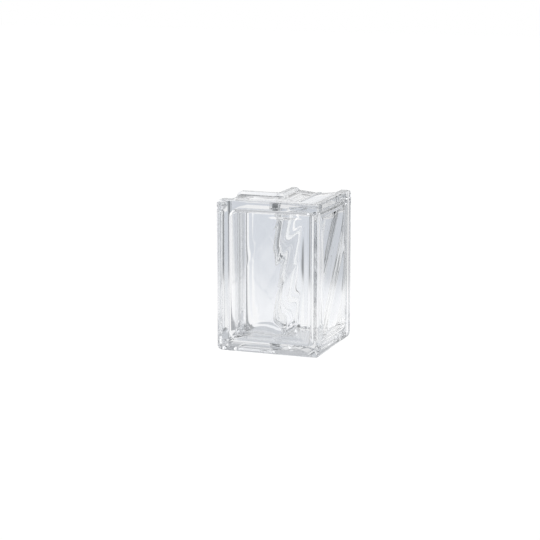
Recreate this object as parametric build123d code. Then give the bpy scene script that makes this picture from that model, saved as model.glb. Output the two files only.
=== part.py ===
from build123d import *
from math import ceil, copysign, cos, radians, sin, tan
import os

# Overall size of the corner block
BLOCK_HEIGHT = 190.0
LEG_LENGTH = 132.0
LEG_THICKNESS = 80.0

# Mortar channel round the top, the bottom and the two ends of the block
OUTER_RIM_WIDTH = 12.0
INNER_RIM_WIDTH = 9.0
SHOULDER_RUN = 4.0
SHOULDER_DROP = 3.2
CHANNEL_DEPTH = 5.6
OUTLINE_CORNER_RADIUS = 6.8
RIM_ROUND = 2.5
SHOULDER_ROUND = 3.0

# Fused seam between the two pressed halves, a low bead in the middle of the channel
SEAM_WIDTH = 4.0
SEAM_HEIGHT = 1.3
SEAM_ROUND = 1.6

# Rounded edges of the faces
OUTER_VERTICAL_ROUND = 3.5
INNER_VERTICAL_ROUND = 4.0
FACE_EDGE_ROUND = 2.5

# Sealed hollow inside the block
PANE_THICKNESS = 8.0
END_WALL = 14.0
TOP_WALL = 12.4
HOLLOW_CORNER_RADIUS = 10.0
HOLLOW_OUTER_BEND = 9.0
HOLLOW_INNER_BEND = 5.0
HOLLOW_EDGE_ROUND = 4.5
DRAFT_ANGLE = 1.5

# Wave relief pressed into the hollow side of the panes: leaning flutes with rounded ridges
OUTER_WAVE_DEPTH = 3.0
INNER_WAVE_DEPTH = 1.6
WAVE_PITCH = 48.0
WAVE_LEAN = 36.0
NARROW_RIDGE_ROUND = 12.0
BROAD_RIDGE_ROUND = 45.0
FRONT_FADE_ANGLE = 2.0
RELIEF_MARGIN = 1.0
RELIEF_EDGE_SLOPE = 55.0

# Place of one ridge on each pane, measured across the flutes from the middle of the leg
FRONT_OUTER_RIDGE = -5.6
SIDE_OUTER_RIDGE = 21.0
FRONT_INNER_RIDGE = 20.0
SIDE_INNER_RIDGE = -12.0

# Construction allowances
OVERRUN = 12.0
OVERLAP = 1.0

HALF_LENGTH = LEG_LENGTH / 2
HALF_HEIGHT = BLOCK_HEIGHT / 2
HOLLOW_FRONT = PANE_THICKNESS
HOLLOW_BACK = LEG_THICKNESS - PANE_THICKNESS
MITRE = Plane(origin=(0, 0, 0), z_dir=(1, 1, 0))


def elevation(depth, end_inset, top_inset, radius):
    """Outline of the front leg at a depth behind its outer face, rounded at its free end."""
    left = end_inset - HALF_LENGTH
    right = HALF_LENGTH + OVERRUN
    outline = Rectangle(right - left, BLOCK_HEIGHT - 2 * top_inset, align=(Align.MIN, Align.CENTER))
    outline = fillet(outline.vertices().group_by(Axis.X)[0], radius)
    place = Plane(origin=(left, depth - HALF_LENGTH, HALF_HEIGHT), x_dir=(1, 0, 0), z_dir=(0, -1, 0))
    return place * outline


def outside(depth, inset):
    """Outline of the envelope at a depth, set in from the rim by the same amount all round."""
    return elevation(depth, inset, inset, OUTLINE_CORNER_RADIUS - inset)


def between(first, second):
    """Solid between two elevations, with straight sides."""
    return loft([first, second], ruled=True)


def outline_edges(leg, depth):
    """Edges that run round the free end of a leg at one depth."""
    level = depth - HALF_LENGTH
    flat = min(leg.edges().group_by(Axis.Y), key=lambda group: abs(group[0].center().Y - level))
    return flat.sort_by(Axis.X)[:-1]


def both_legs(leg):
    """Leg cut at the mitre, joined to its mirror image."""
    front = split(leg, bisect_by=MITRE, keep=Keep.BOTTOM)
    return front + mirror(front, about=MITRE)


def pressed_half(face_depth, inward, rim_width):
    """One pressed half of the front leg, from its face to the seam."""
    rim_end = face_depth + inward * rim_width
    shoulder_end = rim_end + inward * SHOULDER_RUN
    rim_edge = outside(rim_end, 0)
    foot = outside(shoulder_end, SHOULDER_DROP)
    seam = outside(LEG_THICKNESS / 2, CHANNEL_DEPTH)
    half = between(outside(face_depth, 0), rim_edge) + between(rim_edge, foot) + between(foot, seam)
    half = fillet(outline_edges(half, rim_end), RIM_ROUND)
    return fillet(outline_edges(half, shoulder_end), SHOULDER_ROUND)


def seam_bead():
    """Low rounded bead where the two halves are fused."""
    inset = CHANNEL_DEPTH - SEAM_HEIGHT
    start = (LEG_THICKNESS - SEAM_WIDTH) / 2
    end = start + SEAM_WIDTH
    bead = between(outside(start, inset), outside(end, inset))
    return fillet(outline_edges(bead, start) + outline_edges(bead, end), SEAM_ROUND)


def wall_middles(depth):
    """Points half way up the front wall, the side wall and their shared corner, at one depth."""
    level = HALF_LENGTH - depth
    middle = depth / 2
    return (-middle, -level, HALF_HEIGHT), (level, middle, HALF_HEIGHT), (level, -level, HALF_HEIGHT)


def round_corner(body, depth, radius):
    """Body with its long upright edge at a depth rounded."""
    corner = wall_middles(depth)[-1]
    upright = body.edges().filter_by(Axis.Z).sort_by_distance(corner)[0]
    return fillet(upright, radius)


def round_wall(body, depth, radius):
    """Body with all edges rounded round the wall at a depth, which turns from leg to leg."""
    faces = [body.faces().sort_by_distance(middle)[0] for middle in wall_middles(depth)]
    edges = [edge for face in faces for edge in face.edges()]
    rim = [edge for edge in edges if sum(edge.is_same(other) for other in edges) == 1]
    return fillet(rim, radius)


def envelope():
    """Outside of the block, still without its hollow."""
    outer_half = pressed_half(0, 1, OUTER_RIM_WIDTH)
    inner_half = pressed_half(LEG_THICKNESS, -1, INNER_RIM_WIDTH)
    body = both_legs(outer_half + inner_half + seam_bead())
    body = round_corner(body, 0, OUTER_VERTICAL_ROUND)
    body = round_corner(body, LEG_THICKNESS, INNER_VERTICAL_ROUND)
    body = round_wall(body, 0, FACE_EDGE_ROUND)
    return round_wall(body, LEG_THICKNESS, FACE_EDGE_ROUND)


def hollow_outline(depth):
    """Outline of the hollow at a depth; it widens with draft from the panes to the seam."""
    widening = min(depth - HOLLOW_FRONT, HOLLOW_BACK - depth) * tan(radians(DRAFT_ANGLE))
    return elevation(depth, END_WALL - widening, TOP_WALL - widening, HOLLOW_CORNER_RADIUS + widening)


def plain_hollow():
    """Hollow of both legs before the relief, with rounded edges."""
    seam = hollow_outline(LEG_THICKNESS / 2)
    outer_half = between(hollow_outline(HOLLOW_FRONT), seam)
    inner_half = between(seam, hollow_outline(HOLLOW_BACK))
    body = both_legs(outer_half + inner_half)
    body = round_corner(body, HOLLOW_FRONT, HOLLOW_OUTER_BEND)
    body = round_corner(body, HOLLOW_BACK, HOLLOW_INNER_BEND)
    body = round_wall(body, HOLLOW_FRONT, HOLLOW_EDGE_ROUND)
    return round_wall(body, HOLLOW_BACK, HOLLOW_EDGE_ROUND)


def flute_section(ridge, wave_depth):
    """Section across the flutes of a pane: shallow arcs that meet in narrow and broad ridges."""
    steps = 2 * ceil((HALF_HEIGHT + HALF_LENGTH) / (2 * WAVE_PITCH))
    crests = [ridge + step * WAVE_PITCH for step in range(-steps, steps + 1)]
    arcs = []
    for start, end in zip(crests, crests[1:]):
        valley = ((start + end) / 2, wave_depth)
        arcs.append(ThreePointArc((start, 0), valley, (end, 0)))
    back = -WAVE_PITCH / 4
    closing = Polyline((crests[-1], 0), (crests[-1], back), (crests[0], back), (crests[0], 0))
    section = make_face(Wire(arcs + closing.edges()))
    for kind, radius in ((crests[2:-1:2], NARROW_RIDGE_ROUND), (crests[1::2], BROAD_RIDGE_ROUND)):
        ridges = [section.vertices().sort_by_distance((crest, 0))[0] for crest in kind]
        section = fillet(ridges, radius)
    return section


def relief(pane, free_end, corner_end, ridge, wave_depth, fade_angle):
    """Fluted field of one pane, which bulges from the hollow into the glass.

    The field reaches along the pane from the leg's free end to the corner; its sides slope, and
    its flutes may get shallower towards the free end.
    """
    height = BLOCK_HEIGHT - 2 * (TOP_WALL + HOLLOW_EDGE_ROUND + RELIEF_MARGIN)
    base = Location(((free_end + corner_end) / 2, 0, -OVERLAP))
    outline = base * Rectangle(abs(corner_end - free_end), height)
    field = extrude(outline, amount=wave_depth + OVERLAP, taper=RELIEF_EDGE_SLOPE)
    lean = radians(WAVE_LEAN)
    across = Plane(origin=(0, 0, 0), x_dir=(cos(lean), -sin(lean), 0), z_dir=(-sin(lean), -cos(lean), 0))
    flutes = extrude(across * flute_section(ridge, wave_depth), amount=BLOCK_HEIGHT, both=True)
    tilt = Rot(0, copysign(fade_angle, free_end - corner_end), 0)
    flutes = Location((corner_end, 0, 0)) * tilt * Location((-corner_end, 0, 0)) * flutes
    return pane * (field & flutes)


def hollow():
    """Sealed hollow with the relief of its four panes."""
    front = HOLLOW_FRONT - HALF_LENGTH
    back = HOLLOW_BACK - HALF_LENGTH
    free_end = HALF_LENGTH - END_WALL - HOLLOW_EDGE_ROUND - RELIEF_MARGIN
    outer_end = HOLLOW_OUTER_BEND + RELIEF_MARGIN + front
    inner_end = HOLLOW_INNER_BEND + HOLLOW_EDGE_ROUND + RELIEF_MARGIN + back
    front_outer = Plane(origin=(0, front, HALF_HEIGHT), x_dir=(1, 0, 0), z_dir=(0, -1, 0))
    side_outer = Plane(origin=(-front, 0, HALF_HEIGHT), x_dir=(0, 1, 0), z_dir=(1, 0, 0))
    front_inner = Plane(origin=(0, back, HALF_HEIGHT), x_dir=(-1, 0, 0), z_dir=(0, 1, 0))
    side_inner = Plane(origin=(-back, 0, HALF_HEIGHT), x_dir=(0, -1, 0), z_dir=(-1, 0, 0))
    body = plain_hollow()
    body += relief(
        front_outer, -free_end, -outer_end, FRONT_OUTER_RIDGE, OUTER_WAVE_DEPTH, FRONT_FADE_ANGLE
    )
    body += relief(side_outer, free_end, outer_end, SIDE_OUTER_RIDGE, OUTER_WAVE_DEPTH, 0)
    body += relief(front_inner, free_end, inner_end, FRONT_INNER_RIDGE, INNER_WAVE_DEPTH, 0)
    body += relief(side_inner, -free_end, -inner_end, SIDE_INNER_RIDGE, INNER_WAVE_DEPTH, 0)
    return body


def glass_block():
    """The whole block: one fused piece of glass round one sealed hollow."""
    return envelope() - hollow()


if __name__ == "__main__":
    os.makedirs("parts", exist_ok=True)
    export_step(glass_block(), "parts/glass_block.step")
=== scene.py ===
from math import cos, pi, radians, sin, tan

import bmesh
import bpy
import numpy as np
from mathutils import Matrix, Vector


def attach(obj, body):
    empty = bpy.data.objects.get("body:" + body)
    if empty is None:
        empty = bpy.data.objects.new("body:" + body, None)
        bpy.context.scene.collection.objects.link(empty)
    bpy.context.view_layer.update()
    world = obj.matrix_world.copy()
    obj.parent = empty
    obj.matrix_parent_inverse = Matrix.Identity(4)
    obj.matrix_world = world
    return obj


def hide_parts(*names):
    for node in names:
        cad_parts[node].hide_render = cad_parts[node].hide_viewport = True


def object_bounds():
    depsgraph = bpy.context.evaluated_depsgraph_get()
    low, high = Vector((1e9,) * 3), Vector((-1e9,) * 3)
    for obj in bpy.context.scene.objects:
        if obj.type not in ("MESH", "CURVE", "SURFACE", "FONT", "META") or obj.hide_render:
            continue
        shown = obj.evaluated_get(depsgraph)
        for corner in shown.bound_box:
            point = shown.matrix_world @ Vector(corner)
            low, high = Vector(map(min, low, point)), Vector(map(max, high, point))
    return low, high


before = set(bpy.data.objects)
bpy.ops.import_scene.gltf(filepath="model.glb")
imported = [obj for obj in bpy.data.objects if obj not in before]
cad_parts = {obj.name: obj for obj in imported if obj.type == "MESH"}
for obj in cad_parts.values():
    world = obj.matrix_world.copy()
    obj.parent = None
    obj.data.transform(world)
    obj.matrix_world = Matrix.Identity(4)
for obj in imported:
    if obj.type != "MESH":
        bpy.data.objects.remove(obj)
cad_low, cad_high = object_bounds()

MM = 0.001

# Block, in millimetres; the outer faces meet at the corner (HALF, -HALF)
LENGTH, _, HEIGHT = [(high - low) / MM for low, high in zip(cad_low, cad_high)]
HALF = LENGTH / 2
THICKNESS = 80.0

# Mortar channel round the block: depths behind a face, and insets from the rims
OUTER_RIM = 12.0
INNER_RIM = 9.0
SHOULDER_RUN = 4.0
SHOULDER_DROP = 3.2
CHANNEL_DEPTH = 5.6
OUTLINE_CORNER = 6.8
RIM_ROUND = 2.5
SHOULDER_ROUND = 3.0

# Bead of the fused seam in the middle of the channel
SEAM_WIDTH = 4.0
SEAM_HEIGHT = 1.3
SEAM_SIDE = 0.2
SEAM_FOOT_ROUND = 0.3
SEAM_ROUND = 0.7

# Rounded edges of the faces; the bands beside them keep the flat faces flat in the shading
FACE_ROUND = 2.5
OUTER_BEND = 3.5
INNER_BEND = 4.0
NARROW_BAND = 0.7
WIDE_BAND = 1.6

# Sealed hollow
PANE = 8.0
END_WALL = 14.0
TOP_WALL = 12.4
HOLLOW_CORNER = 10.0
HOLLOW_OUTER_BEND = 9.0
HOLLOW_INNER_BEND = 5.0
HOLLOW_ROUND = 4.5
HOLLOW_SEAM_WIDTH = 1.0
DRAFT = tan(radians(1.5))

# Wave relief of the panes: leaning flutes with rounded ridges
WAVE_PITCH = 48.0
WAVE_LEAN = radians(36)
OUTER_WAVE_DEPTH = 3.4
INNER_WAVE_DEPTH = 1.6
NARROW_RIDGE = 1.8
BROAD_RIDGE = 4.0
FRONT_FADE = 0.05
FADE_SOFTNESS = 0.35
RELIEF_MARGIN = 1.0
BORDER_SLOPE = 0.7
BORDER_START = 0.5
BORDER_SOFTNESS = 1.2

# Place of one ridge on each pane, measured across the flutes from the middle of the leg
FRONT_OUTER_RIDGE = -5.6
SIDE_OUTER_RIDGE = 21.0
FRONT_INNER_RIDGE = 20.0
SIDE_INNER_RIDGE = -12.0

# Mesh density, in steps
LEG_CELLS = 82
BEND_CELLS = 10
END_CELLS = 112
ARC_CELLS = 8
PROFILE_STEPS = 5
FACE_STEPS = 6
HOLLOW_STEPS = 9
WELD = 1e-6

# Glass; the noise scales are in turns per metre and the bump height is in metres
GLASS_DARK = (0.98, 0.984, 0.99, 1)
GLASS_BRIGHT = (1.0, 1.0, 1.0, 1)
GLASS_IOR = 1.5
GLASS_DEEP = (0.71, 0.72, 0.73, 1)
GLASS_DENSITY = 5.0
STREAK_SCALE = 25.0
STREAK_DETAIL = 4.0
STREAK_START = 0.45
STREAK_END = 0.8
STREAK_ROUGHNESS = 0.03
RIPPLE_SCALE = 60.0
RIPPLE_DETAIL = 2.0
RIPPLE_STRENGTH = 0.15
RIPPLE_HEIGHT = 0.0002

# Camera, fitted to the corners of the block in the photograph, in metres and pixels
YAW = radians(20.24)
PITCH = radians(11.1)
DISTANCE = 2.249
SHIFT_RIGHT = 0.0187
SHIFT_UP = 0.00149
FOCAL_PIXELS = 1789
IMAGE_PIXELS = 540
SENSOR_WIDTH = 36
LIGHT_BOUNCES = 14

# Studio seen in and through the glass. Its cards stand round the block, square to the camera,
# and azimuths are in degrees to the right of the way the camera looks.
AHEAD = (-sin(YAW), cos(YAW), 0.0)
ACROSS = (cos(YAW), sin(YAW), 0.0)
WHITE = (1, 1, 1, 1)
RIGHT = (0.95, 0.96, 0.97, 1)
DARK_LEFT = (0.3, 0.31, 0.32, 1)
DARK_RIGHT = (0.2, 0.21, 0.22, 1)
BEHIND_CAMERA = (0.6, 0.62, 0.65, 1)
ABOVE = (0.55, 0.56, 0.58, 1)
CARD_SOFTNESS = 3.0
NEAR_LEFT_AZIMUTH = -26
NEAR_LEFT_HALF_WIDTH = 9.5
DARK_LEFT_AZIMUTH = -50
DARK_LEFT_HALF_WIDTH = 13
FAR_LEFT_AZIMUTH = -88
FAR_LEFT_HALF_WIDTH = 26
RIGHT_AZIMUTH = 80
RIGHT_HALF_WIDTH = 30
DARK_RIGHT_START = 18
DARK_RIGHT_FULL = 27
BEHIND_START = 112
BEHIND_FULL = 130
ABOVE_START = 0.28
ABOVE_FULL = 0.5

# Floor, in metres from the middle of the block; in and through the glass its glow carries
# painted light and shade
FLOOR_SIZE = 12
FLOOR_GLOW = 0.98
FLOOR_COLOUR = (0.06, 0.06, 0.06, 1)
# Painted pool of light on the floor's glow: brighter near the block, greyer far off
PAINTED_POOL_NEAR = (0.93, 0.94, 0.96, 1)
PAINTED_POOL_FAR = (0.67, 0.7, 0.75, 1)
PAINTED_POOL_NEAR_END = 0.15
PAINTED_POOL_FAR_START = 0.75
# Painted light and shade on the floor's glow: by azimuth it takes the cards' tones, and on the
# right it stays white near the block and takes them only beyond these distances
PAINTED_CARD_FOOT_START = 0.3
PAINTED_CARD_FOOT_END = 0.5
# Painted shadow of the block: the floor's glow is darker under the block's footprint
PAINTED_SHADOW_UNDER_BLOCK = (0.6, 0.62, 0.65, 1)
PAINTED_SHADOW_FULL = 0.045
PAINTED_SHADOW_END = 0.06

# Height that the softboxes point at, in metres
AIM_HEIGHT = 0.1

# Sockets of the Mix node that hold colours
COLOUR_A = 6
COLOUR_B = 7
COLOUR_RESULT = 2


def soft_max(first, second, softness):
    """Larger of two values, with a rounded change from one to the other."""
    return (first + second + np.sqrt((first - second) ** 2 + softness ** 2)) / 2


def soft_min(first, second, softness):
    """Smaller of two values, with a rounded change from one to the other."""
    return -soft_max(-first, -second, softness)


def flutes(across, ridge, depth):
    """Depth of shallow arcs that meet in rounded ridges, narrow and broad by turns."""
    radius = ((WAVE_PITCH / 2) ** 2 + depth ** 2) / (2 * depth)
    turns = (across - ridge) / WAVE_PITCH
    place = (turns % 1 - 0.5) * WAVE_PITCH
    own = np.sqrt(radius ** 2 - place ** 2) - radius + depth
    next_place = WAVE_PITCH - np.abs(place)
    neighbour = np.sqrt(radius ** 2 - next_place ** 2) - radius + depth
    width = np.where(np.round(turns) % 2 == 0, NARROW_RIDGE, BROAD_RIDGE)
    return soft_max(own, neighbour, width)


def relief(along, rise, start, end, ridge, depth, fade, pivot):
    """How far the relief of one pane goes into the glass, at a place on the pane."""
    level = rise - HEIGHT / 2
    value = flutes(along * cos(WAVE_LEAN) - level * sin(WAVE_LEAN), ridge, depth)
    value = soft_max(value - fade * np.abs(along - pivot), 0.0, FADE_SOFTNESS)
    margin = HEIGHT / 2 - TOP_WALL - HOLLOW_ROUND - RELIEF_MARGIN
    border = np.minimum(np.minimum(along - start, end - along), margin - np.abs(level))
    limit = np.maximum(border * BORDER_SLOPE - BORDER_START, 0.0)
    value = soft_min(value, limit, BORDER_SOFTNESS)
    return np.where(border > 0, np.maximum(value, 0.0), 0.0)


def outer_swell(run, rise, x, y):
    """Relief of the two outer panes, outwards into the glass."""
    far = HALF - END_WALL - HOLLOW_ROUND - RELIEF_MARGIN
    near = HALF - PANE - HOLLOW_OUTER_BEND - RELIEF_MARGIN
    front = relief(x, rise, -far, near, FRONT_OUTER_RIDGE, OUTER_WAVE_DEPTH, FRONT_FADE, near)
    side = relief(y, rise, -near, far, SIDE_OUTER_RIDGE, OUTER_WAVE_DEPTH, 0, -near)
    return np.where(run < 0, front, side)


def inner_swell(run, rise, x, y):
    """Relief of the two inner panes, as an outward distance, so it is negative."""
    far = HALF - END_WALL - HOLLOW_ROUND - RELIEF_MARGIN
    near = THICKNESS - PANE - HALF + HOLLOW_INNER_BEND + RELIEF_MARGIN
    front = relief(-x, rise, near, far, FRONT_INNER_RIDGE, INNER_WAVE_DEPTH, 0, near)
    side = relief(-y, rise, -far, -near, SIDE_INNER_RIDGE, INNER_WAVE_DEPTH, 0, near)
    return -np.where(run < 0, front, side)


def wall_place(run, depth, bend):
    """Plan position and outward direction at a run along the wall at a depth."""
    centre = HALF - depth - bend
    quarter = bend * pi / 4
    beyond = np.maximum(np.abs(run) - quarter, 0.0)
    turn = pi / 4
    if bend > 0:
        turn = turn + np.clip(run / bend, -pi / 4, pi / 4)
    else:
        turn = turn + np.sign(run) * pi / 4
    east = np.sin(turn)
    north = -np.cos(turn)
    x = centre + bend * east - np.where(run < 0, beyond, 0.0)
    y = -centre + bend * north + np.where(run > 0, beyond, 0.0)
    return x, y, east, north


def placed(run, rise, depth, bend, swell=None):
    """Points at runs and rises on the wall at a depth, moved outwards by the relief."""
    x, y, east, north = wall_place(run, depth, bend)
    if swell is not None:
        out = swell(run, rise, x, y)
        x = x + out * east
        y = y + out * north
    return np.column_stack([x, y, rise])


def stations(depth, bend, inset_end, inset_top, corner):
    """Runs of the top row, and the half run and rise of each level of the wall's outline."""
    half_run = 2 * HALF - depth - bend - inset_end + bend * pi / 4
    half_rise = HEIGHT / 2 - inset_top
    straight = half_run - corner
    turning = bend * pi / 4
    leg = np.linspace(turning, straight, LEG_CELLS + 1)
    bent = np.linspace(-turning, turning, BEND_CELLS + 1)[1:-1]
    runs = np.concatenate([-leg[::-1], bent, leg])
    arc = np.linspace(0, pi / 2, ARC_CELLS + 1)[:-1]
    upper = half_rise - corner + corner * np.cos(arc)
    middle = np.linspace(half_rise - corner, corner - half_rise, END_CELLS + 1)
    widths = straight + corner * np.sin(arc)
    rises = np.concatenate([upper, middle, -upper[::-1]]) + HEIGHT / 2
    widths = np.concatenate([widths, np.full(END_CELLS + 1, half_run), widths[::-1]])
    return runs, turning, widths, rises


def ring_line(depth, bend, inset_end, inset_top, corner):
    """Closed line of points round the wall's outline."""
    runs, turning, widths, rises = stations(depth, bend, inset_end, inset_top, corner)
    top = np.full(len(runs), rises[0])
    bottom = np.full(len(runs), rises[-1])
    run = np.concatenate([runs, widths[1:-1], runs[::-1], -widths[-2:0:-1]])
    rise = np.concatenate([top, rises[1:-1], bottom, rises[-2:0:-1]])
    return placed(run, rise, depth, bend)


def pane_grid(depth, bend, swell):
    """Points of a grid over a pane wall, the places of its outline in ring order, and quads."""
    inset_end = END_WALL + HOLLOW_ROUND
    inset_top = TOP_WALL + HOLLOW_ROUND
    corner = HOLLOW_CORNER - HOLLOW_ROUND
    runs, turning, widths, rises = stations(depth, bend, inset_end, inset_top, corner)
    straight = np.abs(runs) - turning
    points = []
    for width, rise in zip(widths, rises):
        stretch = (width - turning) / (runs[-1] - turning)
        row = np.where(straight > 0, np.sign(runs) * (turning + straight * stretch), runs)
        points.append(placed(row, np.full(len(runs), rise), depth, bend, swell))
    index = np.arange(len(runs) * len(rises)).reshape(len(rises), len(runs))
    outline = np.concatenate([index[0], index[1:-1, -1], index[-1, ::-1], index[-2:0:-1, 0]])
    corners = [index[:-1, :-1], index[:-1, 1:], index[1:, 1:], index[1:, :-1]]
    return np.concatenate(points), outline, np.column_stack([part.ravel() for part in corners])


class Shell:
    """Points and faces of one closed shell, built up ring by ring."""

    def __init__(self):
        self.points = []
        self.faces = []
        self.count = 0
        self.ring = None

    def add_points(self, points):
        start = self.count
        self.points.append(points)
        self.count += len(points)
        return np.arange(start, self.count)

    def add_ring(self, ring):
        """Join the last ring to this one with quads."""
        if self.ring is not None:
            after = np.roll(ring, -1)
            before = np.roll(self.ring, -1)
            self.faces += np.column_stack([self.ring, ring, after, before]).tolist()
        self.ring = ring

    def add_line(self, points):
        self.add_ring(self.add_points(points))

    def add_pane(self, grid, last):
        points, outline, quads = grid
        places = self.add_points(points)
        self.add_ring(places[outline])
        if last:
            quads = quads[:, ::-1]
        self.faces += places[quads].tolist()

    def add_flat(self, last):
        """Fill the last ring: one flat face for each leg and narrow strips round the bend."""
        columns = 2 * LEG_CELLS + BEND_CELLS + 1
        sides = 2 * ARC_CELLS + END_CELLS - 1
        top, right, bottom, left = np.split(
            self.ring, [columns, columns + sides, 2 * columns + sides]
        )
        bottom = bottom[::-1]
        start = LEG_CELLS
        end = LEG_CELLS + BEND_CELLS
        front = [*top[:start + 1], *bottom[:start + 1][::-1], *left]
        side = [*top[end:], *right, *bottom[end:][::-1]]
        strips = [[top[i], top[i + 1], bottom[i + 1], bottom[i]] for i in range(start, end)]
        for face in [front, side] + strips:
            face = [int(place) for place in face]
            self.faces.append(face[::-1] if last else face)


def rounded(corners):
    """Profile points of a polyline whose corners (depth, inset, radius) are rounded."""
    points = []
    for i, (depth, inset, radius) in enumerate(corners):
        here = np.array([depth, inset])
        if radius == 0:
            points.append(here)
            continue
        back = np.array(corners[i - 1][:2]) - here
        ahead = np.array(corners[i + 1][:2]) - here
        back = back / np.linalg.norm(back)
        ahead = ahead / np.linalg.norm(ahead)
        length = radius / np.tan(np.arccos(np.clip(back @ ahead, -1, 1)) / 2)
        start = here + back * length
        end = here + ahead * length
        for u in np.linspace(0, 1, PROFILE_STEPS + 1):
            points.append((1 - u) ** 2 * start + 2 * u * (1 - u) * here + u ** 2 * end)
    return points


def channel_profile():
    """Profile of the mortar channel from the outer face's round to the inner face's."""
    seam_start = (THICKNESS - SEAM_WIDTH) / 2
    seam_end = seam_start + SEAM_WIDTH
    seam_top = CHANNEL_DEPTH - SEAM_HEIGHT
    floor = CHANNEL_DEPTH - SEAM_SIDE
    foot = OUTER_RIM + SHOULDER_RUN
    back_rim = THICKNESS - INNER_RIM
    back_foot = back_rim - SHOULDER_RUN
    corners = rounded([
        (FACE_ROUND, 0, 0),
        (OUTER_RIM, 0, RIM_ROUND),
        (foot, SHOULDER_DROP, SHOULDER_ROUND),
        (seam_start, floor, SEAM_FOOT_ROUND),
        (seam_start + SEAM_SIDE, seam_top, SEAM_ROUND),
        (seam_end - SEAM_SIDE, seam_top, SEAM_ROUND),
        (seam_end, floor, SEAM_FOOT_ROUND),
        (back_foot, SHOULDER_DROP, SHOULDER_ROUND),
        (back_rim, 0, RIM_ROUND),
        (THICKNESS - FACE_ROUND, 0, 0),
    ])
    return corners[1:-1]


def outside_line(depth, bend, inset):
    """Ring of the envelope at a depth, inset by the same amount all round."""
    return ring_line(depth, bend, inset, inset, OUTLINE_CORNER - inset)


def envelope_shell():
    """Outside of the block, from the outer face over the channel to the inner face."""
    shell = Shell()
    turns = np.linspace(0, pi / 2, FACE_STEPS + 1)
    shell.add_line(outside_line(0, OUTER_BEND, FACE_ROUND + WIDE_BAND))
    shell.add_flat(False)
    shell.add_line(outside_line(0, OUTER_BEND, FACE_ROUND + NARROW_BAND))
    for turn in turns:
        depth = FACE_ROUND * (1 - cos(turn))
        shell.add_line(outside_line(depth, OUTER_BEND - depth, FACE_ROUND * (1 - sin(turn))))
    for depth, inset in channel_profile():
        shell.add_line(outside_line(depth, 0, inset))
    for turn in turns[::-1]:
        behind = FACE_ROUND * (1 - cos(turn))
        inset = FACE_ROUND * (1 - sin(turn))
        shell.add_line(outside_line(THICKNESS - behind, INNER_BEND + behind, inset))
    shell.add_line(outside_line(THICKNESS, INNER_BEND, FACE_ROUND + NARROW_BAND))
    shell.add_line(outside_line(THICKNESS, INNER_BEND, FACE_ROUND + WIDE_BAND))
    shell.add_flat(True)
    return shell


def hollow_line(depth, bend, inset):
    """Ring of the hollow at a depth; it widens with draft from the panes to the seam."""
    inset = inset - min(depth - PANE, THICKNESS - PANE - depth) * DRAFT
    return ring_line(depth, bend, END_WALL + inset, TOP_WALL + inset, HOLLOW_CORNER - inset)


def hollow_shell():
    """Wall of the sealed hollow, from the outer panes over the seam to the inner panes."""
    shell = Shell()
    back = THICKNESS - PANE
    turns = np.linspace(0, pi / 2, HOLLOW_STEPS + 1)
    shell.add_pane(pane_grid(PANE, HOLLOW_OUTER_BEND, outer_swell), False)
    for turn in turns[1:]:
        behind = HOLLOW_ROUND * (1 - cos(turn))
        inset = HOLLOW_ROUND * (1 - sin(turn))
        shell.add_line(hollow_line(PANE + behind, HOLLOW_OUTER_BEND - behind, inset))
    for side in (-1, 1):
        depth = (THICKNESS + side * HOLLOW_SEAM_WIDTH) / 2
        shell.add_line(hollow_line(depth, HOLLOW_OUTER_BEND / 2, 0))
    for turn in turns[:0:-1]:
        behind = HOLLOW_ROUND * (1 - cos(turn))
        inset = HOLLOW_ROUND * (1 - sin(turn))
        shell.add_line(hollow_line(back - behind, HOLLOW_INNER_BEND + behind, inset))
    shell.add_pane(pane_grid(back, HOLLOW_INNER_BEND, inner_swell), True)
    return shell


def close_up(mesh):
    """Weld the mesh's double points and take out faces without area."""
    work = bmesh.new()
    work.from_mesh(mesh)
    bmesh.ops.remove_doubles(work, verts=work.verts, dist=WELD)
    bmesh.ops.dissolve_degenerate(work, dist=WELD, edges=work.edges)
    work.to_mesh(mesh)
    work.free()


def clear_glass_block():
    """The whole block: its outside and, turned inside out, the wall of its hollow."""
    outside = envelope_shell()
    hollow = hollow_shell()
    points = np.concatenate(outside.points + hollow.points) * MM
    faces = [face[::-1] for face in outside.faces]
    faces += [[place + outside.count for place in face] for face in hollow.faces]
    mesh = bpy.data.meshes.new("clear_glass_block")
    mesh.from_pydata(points.tolist(), [], faces)
    close_up(mesh)
    mesh.shade_smooth()
    block = bpy.data.objects.new("clear_glass_block", mesh)
    bpy.context.scene.collection.objects.link(block)
    return block


def node(tree, kind, sockets=None, **settings):
    """New node with its settings, and its input sockets set or linked by name."""
    made = tree.nodes.new(kind)
    for name, value in settings.items():
        setattr(made, name, value)
    for name, value in (sockets or {}).items():
        feed(tree, made.inputs[name], value)
    return made


def feed(tree, socket, value):
    """Link a socket to another, or set its value."""
    if isinstance(value, bpy.types.NodeSocket):
        tree.links.new(value, socket)
    else:
        socket.default_value = value


def empty_tree(owner):
    """Node tree of a material or world, without nodes."""
    owner.use_nodes = True
    owner.node_tree.nodes.clear()
    return owner.node_tree


def ramp(tree, source, start, end):
    """Soft change from 0 to 1 as the source goes from start to end."""
    sockets = {"Value": source, "From Min": start, "From Max": end}
    made = node(tree, "ShaderNodeMapRange", sockets, interpolation_type="SMOOTHSTEP")
    return made.outputs["Result"]


def calculate(tree, operation, first, second=0.0):
    """Result of a sum with one or two values."""
    return node(tree, "ShaderNodeMath", {0: first, 1: second}, operation=operation).outputs[0]


def dot(tree, vector, direction):
    """Length of a vector along a direction."""
    sockets = {0: vector, 1: direction}
    return node(tree, "ShaderNodeVectorMath", sockets, operation="DOT_PRODUCT").outputs["Value"]


def mix(tree, factor, first, second):
    """Colour between the first, at 0, and the second, at 1."""
    sockets = {0: factor, COLOUR_A: first, COLOUR_B: second}
    return node(tree, "ShaderNodeMix", sockets, data_type="RGBA").outputs[COLOUR_RESULT]


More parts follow.
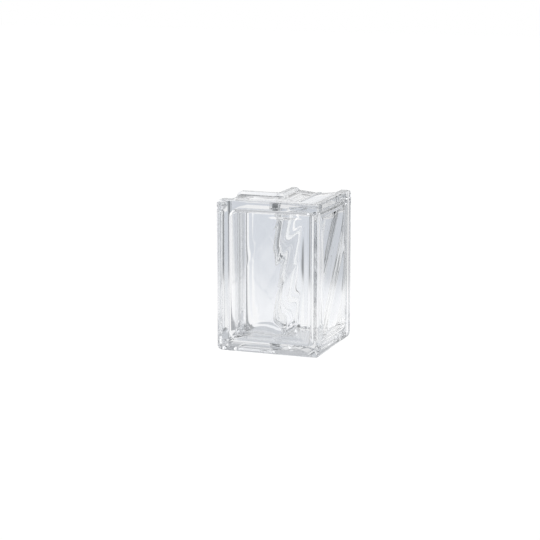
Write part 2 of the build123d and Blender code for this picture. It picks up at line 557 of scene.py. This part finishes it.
def noise(tree, scale, detail):
    """Noise over the object's own coordinates."""
    place = node(tree, "ShaderNodeTexCoord").outputs["Object"]
    sockets = {"Vector": place, "Scale": scale, "Detail": detail}
    return node(tree, "ShaderNodeTexNoise", sockets).outputs[0]


def glass_surface(tree):
    """Clear smooth glass with faint streaks and ripples of the pressing."""
    streak = noise(tree, STREAK_SCALE, STREAK_DETAIL)
    ripple = noise(tree, RIPPLE_SCALE, RIPPLE_DETAIL)
    bump = node(tree, "ShaderNodeBump", {
        "Strength": RIPPLE_STRENGTH, "Distance": RIPPLE_HEIGHT, "Height": ripple,
    })
    haze = ramp(tree, streak, STREAK_START, STREAK_END)
    return node(tree, "ShaderNodeBsdfPrincipled", {
        "Base Color": mix(tree, streak, GLASS_DARK, GLASS_BRIGHT),
        "Roughness": calculate(tree, "MULTIPLY", haze, STREAK_ROUGHNESS),
        "IOR": GLASS_IOR,
        "Transmission Weight": 1.0,
        "Normal": bump.outputs[0],
    }).outputs[0]


def glass_material():
    """Glass that lets the lamps' light through and darkens a little with depth."""
    material = bpy.data.materials.new("glass")
    tree = empty_tree(material)
    path = node(tree, "ShaderNodeLightPath")
    clear = node(tree, "ShaderNodeBsdfTransparent")
    surface = node(tree, "ShaderNodeMixShader", {
        0: path.outputs["Is Shadow Ray"], 1: glass_surface(tree), 2: clear.outputs[0],
    })
    depth = node(tree, "ShaderNodeVolumeAbsorption", {
        "Color": GLASS_DEEP, "Density": GLASS_DENSITY,
    })
    node(tree, "ShaderNodeOutputMaterial", {
        "Surface": surface.outputs[0], "Volume": depth.outputs[0],
    })
    return material


def card(tree, light, azimuth, middle, half_width, colour):
    """Light with a card of another brightness over a range of azimuth."""
    away = calculate(tree, "ABSOLUTE", calculate(tree, "SUBTRACT", azimuth, radians(middle)))
    inner_edge = radians(half_width - CARD_SOFTNESS)
    outer_edge = radians(half_width + CARD_SOFTNESS)
    return mix(tree, ramp(tree, away, inner_edge, outer_edge), colour, light)


def surroundings(tree, place, ahead, dark_right, right):
    """Light of the studio's cards and gaps in the direction of a place."""
    azimuth = calculate(tree, "ARCTAN2", dot(tree, place, ACROSS), dot(tree, place, AHEAD))
    gap = ramp(tree, azimuth, radians(DARK_RIGHT_START), radians(DARK_RIGHT_FULL))
    light = mix(tree, gap, ahead, dark_right)
    light = card(tree, light, azimuth, DARK_LEFT_AZIMUTH, DARK_LEFT_HALF_WIDTH, DARK_LEFT)
    light = card(tree, light, azimuth, NEAR_LEFT_AZIMUTH, NEAR_LEFT_HALF_WIDTH, WHITE)
    light = card(tree, light, azimuth, FAR_LEFT_AZIMUTH, FAR_LEFT_HALF_WIDTH, WHITE)
    light = card(tree, light, azimuth, RIGHT_AZIMUTH, RIGHT_HALF_WIDTH, right)
    turned = calculate(tree, "ABSOLUTE", azimuth)
    behind = ramp(tree, turned, radians(BEHIND_START), radians(BEHIND_FULL))
    return mix(tree, behind, light, BEHIND_CAMERA)


def white_at_camera(tree, light):
    """White for the camera, and the studio's light in and through the glass."""
    path = node(tree, "ShaderNodeLightPath")
    return mix(tree, path.outputs["Is Camera Ray"], light, WHITE)


def studio_world():
    """World that is white to the camera and shows cards, gaps and a grey ceiling in glass."""
    world = bpy.data.worlds.new("studio")
    bpy.context.scene.world = world
    tree = empty_tree(world)
    direction = node(tree, "ShaderNodeTexCoord").outputs["Generated"]
    height = node(tree, "ShaderNodeSeparateXYZ", {0: direction}).outputs["Z"]
    light = surroundings(tree, direction, WHITE, DARK_RIGHT, RIGHT)
    light = mix(tree, ramp(tree, height, ABOVE_START, ABOVE_FULL), light, ABOVE)
    background = node(tree, "ShaderNodeBackground", {
        "Color": white_at_camera(tree, light), "Strength": 1.0,
    })
    node(tree, "ShaderNodeOutputWorld", {"Surface": background.outputs[0]})


def painted_floor_light(tree):
    """Painted light of the floor's glow at a place: a painted pool round the block, the cards'
    tones painted by azimuth, and a painted shadow under the block.
    """
    place = node(tree, "ShaderNodeTexCoord").outputs["Object"]
    length = node(tree, "ShaderNodeVectorMath", {0: place}, operation="LENGTH")
    distance = length.outputs["Value"]
    # Painted pool of light: the glow is brighter near the block and greyer far off
    far = ramp(tree, distance, PAINTED_POOL_NEAR_END, PAINTED_POOL_FAR_START)
    # Painted light and shade: the cards' tones painted across the floor's glow by azimuth
    foot = ramp(tree, distance, PAINTED_CARD_FOOT_START, PAINTED_CARD_FOOT_END)
    light = surroundings(
        tree, place, mix(tree, far, PAINTED_POOL_NEAR, PAINTED_POOL_FAR),
        mix(tree, foot, WHITE, DARK_RIGHT), mix(tree, foot, WHITE, RIGHT),
    )
    # Painted shadow: the glow darkens under the block's footprint
    parts = node(tree, "ShaderNodeSeparateXYZ", {0: place}).outputs
    sides = [calculate(tree, "ABSOLUTE", parts[name]) for name in ("X", "Y")]
    reach = calculate(tree, "MAXIMUM", *sides)
    return mix(tree, ramp(tree, reach, PAINTED_SHADOW_FULL, PAINTED_SHADOW_END), PAINTED_SHADOW_UNDER_BLOCK, light)


def floor_material():
    """Pale floor that glows white to the camera, and glows with painted light and shade in and
    through the glass.
    """
    material = bpy.data.materials.new("floor")
    tree = empty_tree(material)
    glow = node(tree, "ShaderNodeEmission", {
        "Color": white_at_camera(tree, painted_floor_light(tree)), "Strength": FLOOR_GLOW,
    })
    matt = node(tree, "ShaderNodeBsdfDiffuse", {"Color": FLOOR_COLOUR})
    both = node(tree, "ShaderNodeAddShader", {0: glow.outputs[0], 1: matt.outputs[0]})
    node(tree, "ShaderNodeOutputMaterial", {"Surface": both.outputs[0]})
    return material


def studio_floor():
    """Level floor under the block."""
    bpy.ops.mesh.primitive_plane_add(size=FLOOR_SIZE)
    floor = bpy.context.object
    floor.name = "floor"
    floor.data.materials.append(floor_material())


def softbox(name, place, width, height, radiance):
    """Soft lamp of a brightness, turned to the block."""
    light = bpy.data.lights.new(name, "AREA")
    light.shape = "RECTANGLE"
    light.size = width
    light.size_y = height
    light.energy = radiance * pi * width * height
    lamp = bpy.data.objects.new(name, light)
    bpy.context.scene.collection.objects.link(lamp)
    lamp.location = place
    aim = Vector((0, 0, AIM_HEIGHT)) - lamp.location
    lamp.rotation_euler = aim.to_track_quat("-Z", "Y").to_euler()


def camera():
    """Camera at the photograph's viewing angle."""
    back = Vector((sin(YAW) * cos(PITCH), -cos(YAW) * cos(PITCH), sin(PITCH)))
    right = Vector((cos(YAW), sin(YAW), 0))
    up = back.cross(right)
    middle = Vector((0, 0, HEIGHT * MM / 2))
    place = middle + back * DISTANCE - right * SHIFT_RIGHT - up * SHIFT_UP
    turn = Matrix((right, up, back)).transposed().to_4x4()
    lens = bpy.data.cameras.new("camera")
    lens.sensor_width = SENSOR_WIDTH
    lens.lens = FOCAL_PIXELS * SENSOR_WIDTH / IMAGE_PIXELS
    made = bpy.data.objects.new("camera", lens)
    bpy.context.scene.collection.objects.link(made)
    made.matrix_world = Matrix.Translation(place) @ turn
    bpy.context.scene.camera = made


def light_paths():
    """More bounces than usual, since light crosses many faces of the glass."""
    cycles = bpy.context.scene.cycles
    cycles.max_bounces = LIGHT_BOUNCES
    cycles.transmission_bounces = LIGHT_BOUNCES
    cycles.glossy_bounces = LIGHT_BOUNCES


block = clear_glass_block()
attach(block, "root")
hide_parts("glass_block")
block.data.materials.append(glass_material())

studio_world()
studio_floor()
softbox("left_softbox", place=(-1.6, -0.6, 1.0), width=0.9, height=1.2, radiance=1.6)
softbox("right_softbox", place=(1.8, -0.3, 0.7), width=0.8, height=1.2, radiance=1.6)
softbox("top_softbox", place=(0.2, 0.3, 2.0), width=0.9, height=0.9, radiance=2.0)
camera()
light_paths()
bpy.context.scene.view_settings.view_transform = "Standard"
